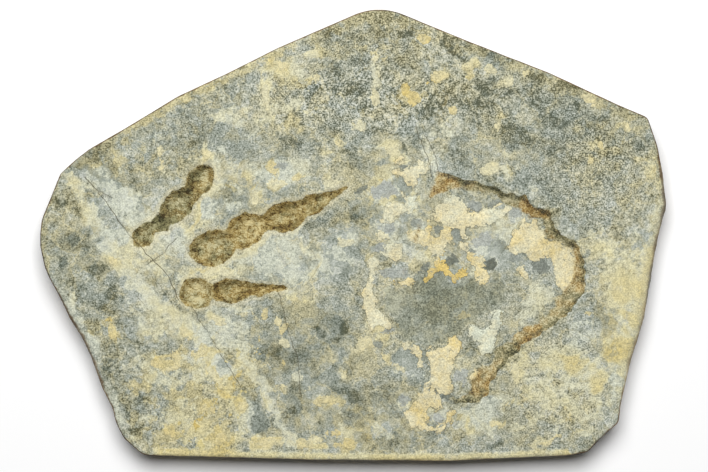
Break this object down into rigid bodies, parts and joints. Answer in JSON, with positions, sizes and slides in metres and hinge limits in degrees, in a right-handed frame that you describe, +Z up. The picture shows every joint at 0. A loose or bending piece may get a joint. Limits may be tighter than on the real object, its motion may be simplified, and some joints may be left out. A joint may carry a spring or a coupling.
{
  "type": "fossil dinosaur footprint",
  "caption": "Flat stone slab with a fossil dinosaur footprint of padded, clawed toes and the edge of a large round track pressed into its weathered face.",
  "frame": {"origin": "middle of the flat underside", "axes": "+Z up out of the printed face, +X along the slab's length from the toed print to the round print, +Y across its width to its pointed edge"},
  "size_m": [0.4388, 0.3162, 0.0259],
  "materials": {
    "stone": "weathered bedded sandstone, grey and olive with cream crust and brown iron stains, matt"
  },
  "bodies": {
    "root": {"track_slab": "stone"}
  },
  "joints": []
}
